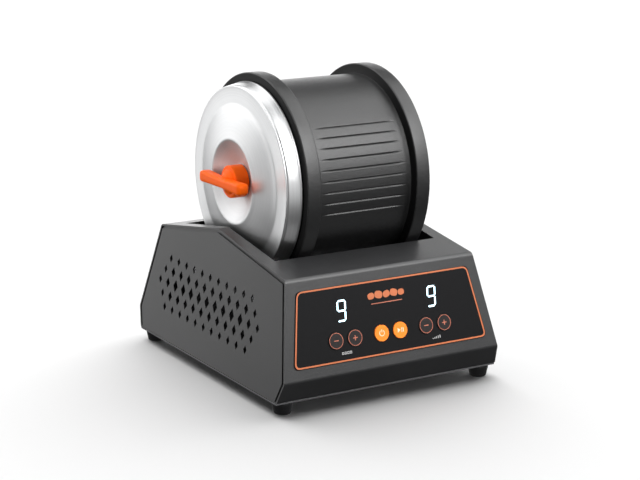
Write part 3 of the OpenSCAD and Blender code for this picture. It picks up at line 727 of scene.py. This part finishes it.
def arc_band(radius, width, start, end):
    """A band along an arc, as one closed outline."""
    return arc(0, 0, radius, start, end, 24) + arc(0, 0, radius - width, end, start, 24)


def button_print(node, name, loops, material):
    """A printed sign on a button's cap, which rides on the button."""
    panel_print(name, loops, material, on_panel(node).x, BUTTON_UP, node, CAP_OUT)


def button_marks():
    """Rings and signs on the caps of the six buttons, each riding on its own button. Sizes are in mm."""
    for key in ("days_minus", "days_plus", "speed_minus", "speed_plus"):
        node = key + "_button"
        button_print(node, key + "_ring", ring(5.2, 0.33), RING_COPPER)
        button_print(node, key + "_bar", [box_loop(0, 0, 3.4, 0.55)], RING_COPPER)
        if key.endswith("plus"):
            button_print(node, key + "_post_low", [box_loop(0, -1.0, 0.55, 1.4)], RING_COPPER)
            button_print(node, key + "_post_high", [box_loop(0, 1.0, 0.55, 1.4)], RING_COPPER)
    node = "power_button"
    button_print(node, "power_sign_arc", [arc_band(2.1, 0.5, 125, 415)], PRINT_PALE)
    button_print(node, "power_sign_post", [box_loop(0, 1.5, 0.5, 2.0)], PRINT_PALE)
    node = "play_pause_button"
    button_print(node, "play_sign", [[(-2.2, -1.6), (0.1, 0), (-2.2, 1.6)]], PRINT_PALE)
    for i, cx in enumerate((1.0, 2.2)):
        button_print(node, f"pause_sign_{i}", [box_loop(cx, 0, 0.6, 3.0)], PRINT_PALE)


def days_pictogram(x):
    """A row of four small open squares under the days buttons."""
    for i in range(4):
        cx = -3.0 + 2.0 * i
        square = [box_loop(cx, 0, 1.45, 1.6), box_loop(cx, 0, 0.85, 1.0)]
        panel_print(f"days_picto_{i}", square, PRINT_WHITE, x, PICTO_UP)


def speed_pictogram(x):
    """Five thin bars that rise from left to right under the speed buttons."""
    for i in range(5):
        h = 0.6 + 0.35 * i
        rising = [box_loop(-2.8 + 1.4 * i, -1.0 + h / 2, 0.55, h)]
        panel_print(f"speed_picto_{i}", rising, PRINT_WHITE, x, PICTO_UP)


def pebble_mark():
    """A plain mark of five tumbled pebbles over a thin line."""
    # Middle, half width, half height and turn in degrees
    pebbles = [(-11.6, 0.0, 2.6, 2.1, 12), (-5.7, 0.35, 3.0, 2.5, -8), (0.4, 0.1, 2.7, 2.2, 20),
               (6.2, 0.3, 2.9, 2.4, -14), (11.9, -0.1, 2.4, 2.0, 6)]
    for i, (cx, cy, rx, ry, turn) in enumerate(pebbles):
        c, s = math.cos(math.radians(turn)), math.sin(math.radians(turn))
        loop = [(cx + px * c - py * s, cy + px * s + py * c) for px, py in superellipse(rx, ry, 2.6, 28)]
        panel_print(f"pebble_{i}", [loop], TRIM_ORANGE, 0, MARK_UP + 1.0 * MM)
    panel_print("pebble_line", [box_loop(0, -4.2, 24, 0.5)], RING_COPPER, 0, MARK_UP)


# ---------------------------------------------------------------- the seams round the side panels

SIDE_TAPER = 0.17       # how far a side leans in for each mm of height
SIDE_HALF_W = 87.98     # half the base's width at z = 0, in mm
# The outline (y, z) of the base's side in mm, seen from the right
SIDE_OUTLINE = [
    (-99.9, 8.0), (-106.3, 23.4), (-88.5, 87.2), (7.2, 101.4), (90.1, 87.2), (106.3, 23.4), (99.9, 8.0)]
# How far inside that outline the frame starts and ends, and its thickness
SEAM_OUTER = 1.95 * MM
SEAM_INNER = 7.5 * MM
SEAM_T = 1.0 * MM
SEAM_BEHIND = 1.1 * MM  # from the side's face to the frame


def inset(points, distance):
    """A clockwise outline moved inward by distance."""
    out = []
    for i, point in enumerate(points):
        before = (point - points[i - 1]).normalized()
        after = (points[(i + 1) % len(points)] - point).normalized()
        inward = Vector((before.y + after.y, -before.x - after.x)).normalized()
        out.append(point + inward * distance / inward.dot(Vector((before.y, -before.x))))
    return out


def seam_backs():
    """A flat painted frame behind each side panel. It closes the seam between the panel and the wrapper."""
    lean = math.atan(SIDE_TAPER)
    points = [Vector((y, z / math.cos(lean))) * MM for y, z in SIDE_OUTLINE]
    for name, side in (("left", -1), ("right", 1)):
        band = plate(name, [inset(points, SEAM_OUTER), inset(points, SEAM_INNER)], SEAM_T)
        up = Vector((-side * math.sin(lean), 0, math.cos(lean)))
        along = Vector((0, 1, 0))
        face = Matrix((along, up, along.cross(up))).transposed().to_4x4()
        face.translation = (side * SIDE_HALF_W * MM, 0, 0)
        depth = -SEAM_BEHIND - SEAM_T if side > 0 else SEAM_BEHIND
        add_mesh(name + "_seam_back", band, CHARCOAL, "base", SHARP_DEG,
                 face @ Matrix.Translation((0, 0, depth)))


# ---------------------------------------------------------------- CAD nodes that stay

def dress_cad_nodes():
    """Materials and rounded edges for the CAD nodes that aren't replaced. Widths are in mm."""
    for node in ("wrapper", "left_side_panel", "right_side_panel"):
        soften(node, CHARCOAL, 0.35)
    soften("floor_plate", FLOOR_PAINT, 0.2)
    soften("control_overlay", OVERLAY_PLASTIC, 0.15)
    for name in ("days_minus", "days_plus", "speed_minus", "speed_plus"):
        soften(name + "_button", BUTTON_DARK, 0.3)
    for name in ("power", "play_pause"):
        soften(name + "_button", BUTTON_ORANGE, 0.6)
    for name in ("front_left_foot", "front_right_foot", "rear_left_foot", "rear_right_foot"):
        soften(name, FOOT_RUBBER, 0.4)
    for name in ("foot_screws", "foot_nuts", "floor_screws", "bracket_screws", "motor_screws", "board_screws",
                 "board_standoffs", "jack_nut", "drive_clip", "idler_clips", "knob_washer"):
        soften(name, ZINC, 0.15)
    # The brackets' near-black colour is painted shade for the inside of the base
    for name in ("left_bracket", "right_bracket"):
        soften(name, SHADE_DARK_BRACKET, 0.2)
    for name in ("drive_shaft", "idler_shaft", "motor_shaft", "lid_stud"):
        soften(name, SHAFT_STEEL, 0.2)
    for name in ("drive_sleeves", "idler_sleeves"):
        soften(name, ROLLER_RUBBER, 0.5)
    for name in ("days_display", "speed_display"):
        soften(name, DISPLAY_GLASS, 0.2)
    for name in ("button_switches", "power_jack"):
        soften(name, BLACK_PLASTIC, 0.2)
    soften("roller_bushes", BRONZE, 0.2)
    soften("gearbox", GEARBOX_METAL, 0.5)
    soften("motor_can", MOTOR_PAINT, 0.5)
    soften("control_board", BOARD_GREEN)
    soften("motor_leads", RED_LEAD)
    soften("power_leads", BLACK_LEAD)
    soften("drive_gear", GEAR_NYLON)
    soften("motor_pinion", BRASS)
    soften("knob_insert", BRASS, 0.2)
    soften("lid_seal", SEAL_RUBBER, 0.4)
    soften("inner_plate", LID_STEEL, 0.3)


# ---------------------------------------------------------------- camera, lights and floor

# Metres, degrees and, for the lens, mm
CAMERA_AT = Vector((-0.63736, -1.06313, 0.39814))
CAMERA_YAW = -31.17
CAMERA_PITCH = -14.17
CAMERA_ROLL = 0.38
CAMERA_LENS = 102.97
# Metres
FLOOR_HALF = 40
SOFTBOX_SIZE = 0.8
SOFTBOX_REACH = 1.3
SOFTBOX_AIM = Vector((0, 0, 0.1))
# Azimuth, elevation and watts of each softbox. The strongest is in front, high up and a little to the right.
SOFTBOXES = [
    (0, 0, 1), (90, 0, 4), (150, 0, 2.5), (210, 8, 5.2), (240, 0, 5.5),
    (120, 30, 4), (158, 28, 4.5), (270, 30, 4), (302, 30, 5), (340, 36, 20),
    (90, 60, 4), (180, 60, 4), (270, 60, 6), (330, 62, 3)]
FLOOR_WASH = 4.75
WASH_SPREAD = 100       # degrees
WASH_TILT = (-34, 24)   # degrees about X and Y
# Sky brightness by the sine of its elevation, from -1 at 0 to +1 at 1
SKY = [(0.0, grey(0.07)), (0.30, grey(0.13)), (0.42, grey(0.18)), (0.46, grey(0.34)), (0.56, grey(0.34)),
       (0.62, grey(0.08)), (1.0, grey(0.04))]


def add_camera():
    """The main view, from the front, the left and above."""
    data = bpy.data.cameras.new("camera")
    data.lens = CAMERA_LENS
    data.sensor_width = 36
    data.clip_start = 0.05
    data.clip_end = 30
    cam = bpy.data.objects.new("camera", data)
    bpy.context.scene.collection.objects.link(cam)
    yaw, pitch = math.radians(CAMERA_YAW), math.radians(CAMERA_PITCH)
    forward = Vector((-math.sin(yaw) * math.cos(pitch), math.cos(yaw) * math.cos(pitch), math.sin(pitch)))
    side = forward.cross(Vector((0, 0, 1))).normalized()
    up = side.cross(forward)
    roll = math.radians(CAMERA_ROLL)
    right = side * math.cos(roll) + up * math.sin(roll)
    top = up * math.cos(roll) - side * math.sin(roll)
    m = Matrix((right, top, -forward)).transposed().to_4x4()
    m.translation = CAMERA_AT
    cam.matrix_world = m
    bpy.context.scene.camera = cam


def softbox(name, azimuth, elevation, power):
    """A square soft light that faces the base. Azimuth 0 is in front, and 90 is on the lid's side."""
    azimuth, elevation = math.radians(azimuth), math.radians(elevation)
    outward = Vector((-math.sin(azimuth) * math.cos(elevation), -math.cos(azimuth) * math.cos(elevation),
                      math.sin(elevation)))
    data = bpy.data.lights.new(name, "AREA")
    data.shape = "SQUARE"
    data.size = SOFTBOX_SIZE
    data.energy = power
    light = bpy.data.objects.new(name, data)
    light.location = SOFTBOX_AIM + outward * SOFTBOX_REACH
    light.rotation_euler = (-outward).to_track_quat("-Z", "Y").to_euler()
    light.visible_camera = False
    bpy.context.scene.collection.objects.link(light)
    return light


def floor_wash():
    """A very soft sun for the floor."""
    data = bpy.data.lights.new("floor_wash", "SUN")
    data.energy = FLOOR_WASH
    data.angle = math.radians(WASH_SPREAD)
    light = bpy.data.objects.new("floor_wash", data)
    light.rotation_euler = (math.radians(WASH_TILT[0]), math.radians(WASH_TILT[1]), 0)
    bpy.context.scene.collection.objects.link(light)
    return light


def link_light(light, floor, state):
    """Makes a light shine on the floor alone (INCLUDE), or on all but the floor (EXCLUDE)."""
    group = bpy.data.collections.new(light.name + "_group")
    group.objects.link(floor)
    group.collection_objects[0].light_linking.link_state = state
    light.light_linking.receiver_collection = group


def add_world():
    """A dark sky and a dim ground, with a pale band at the horizon."""
    world = bpy.data.worlds.new("studio")
    world.use_nodes = True
    nodes, links = world.node_tree.nodes, world.node_tree.links
    coords = nodes.new("ShaderNodeTexCoord")
    split = nodes.new("ShaderNodeSeparateXYZ")
    links.new(coords.outputs["Generated"], split.inputs[0])
    height = remap(nodes, links, split.outputs["Z"], 0, 1)
    height.node.inputs["From Min"].default_value = -1
    links.new(ramp(nodes, links, height, SKY), nodes["Background"].inputs["Color"])
    bpy.context.scene.world = world


def add_lights(floor):
    """Softboxes that light the object alone, and a wash that lights the floor alone."""
    lights = [softbox(f"softbox_{azimuth}_{elevation}", azimuth, elevation, power)
              for azimuth, elevation, power in SOFTBOXES]
    for light in lights:
        link_light(light, floor, "EXCLUDE")
    link_light(floor_wash(), floor, "INCLUDE")


def add_floor():
    """A wide floor that the camera sees, and that adds no reflection, bounce or shadow of its own."""
    bm = bmesh.new()
    bmesh.ops.create_grid(bm, x_segments=8, y_segments=8, size=FLOOR_HALF)
    mesh = bpy.data.meshes.new("studio_floor")
    bm.to_mesh(mesh)
    bm.free()
    floor = bpy.data.objects.new("studio_floor", mesh)
    bpy.context.scene.collection.objects.link(floor)
    floor.data.materials.append(floor_material())
    floor.visible_diffuse = False
    floor.visible_glossy = False
    floor.visible_shadow = False
    return floor


# ---------------------------------------------------------------- build

add_camera()
add_world()
add_lights(add_floor())
bpy.context.scene.view_settings.view_transform = "Standard"
barrel_drum()
outer_lid()
wing_knob()
border()
digit_nine("days_digit", "days_display")
digit_nine("speed_digit", "speed_display")
button_marks()
days_pictogram(on_panel("days_display").x)
speed_pictogram(on_panel("speed_display").x)
pebble_mark()
seam_backs()
dress_cad_nodes()
